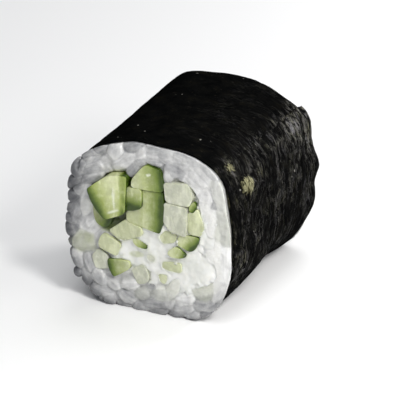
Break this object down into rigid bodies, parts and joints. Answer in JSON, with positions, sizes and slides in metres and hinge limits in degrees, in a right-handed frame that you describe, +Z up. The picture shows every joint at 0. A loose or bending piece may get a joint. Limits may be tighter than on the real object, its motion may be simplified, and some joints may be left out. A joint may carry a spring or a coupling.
{
  "type": "cucumber maki roll",
  "caption": "Short cut length of sushi roll: nori sheet wrapped round sticky rice, with cucumber sticks and cream cheese showing at both cuts.",
  "frame": {"origin": "middle of the flat strip of nori that the roll rests on", "axes": "+Y along the roll, away from the near cut; +Z up; +X to the right seen from the near cut"},
  "size_m": [0.0318, 0.0382, 0.0309],
  "materials": {
    "nori": "dry dark green-black seaweed sheet, satin where it is stretched",
    "rice": "moist translucent white grains",
    "cream_cheese": "smooth moist white cream",
    "cucumber": "wet pale green flesh with a dark green skin side"
  },
  "bodies": {
    "root": {"nori": "nori", "rice": "rice", "cream_cheese": "cream_cheese", "cucumber_01": "cucumber", "cucumber_02": "cucumber", "cucumber_03": "cucumber", "cucumber_04": "cucumber", "cucumber_05": "cucumber", "cucumber_06": "cucumber", "cucumber_07": "cucumber", "cucumber_08": "cucumber", "cucumber_09": "cucumber", "cucumber_10": "cucumber", "cucumber_11": "cucumber", "cucumber_12": "cucumber", "cucumber_13": "cucumber", "cucumber_14": "cucumber", "cucumber_15": "cucumber", "cucumber_16": "cucumber", "cucumber_17": "cucumber", "cucumber_18": "cucumber", "cucumber_19": "cucumber", "cucumber_20": "cucumber", "cucumber_21": "cucumber"}
  },
  "joints": []
}
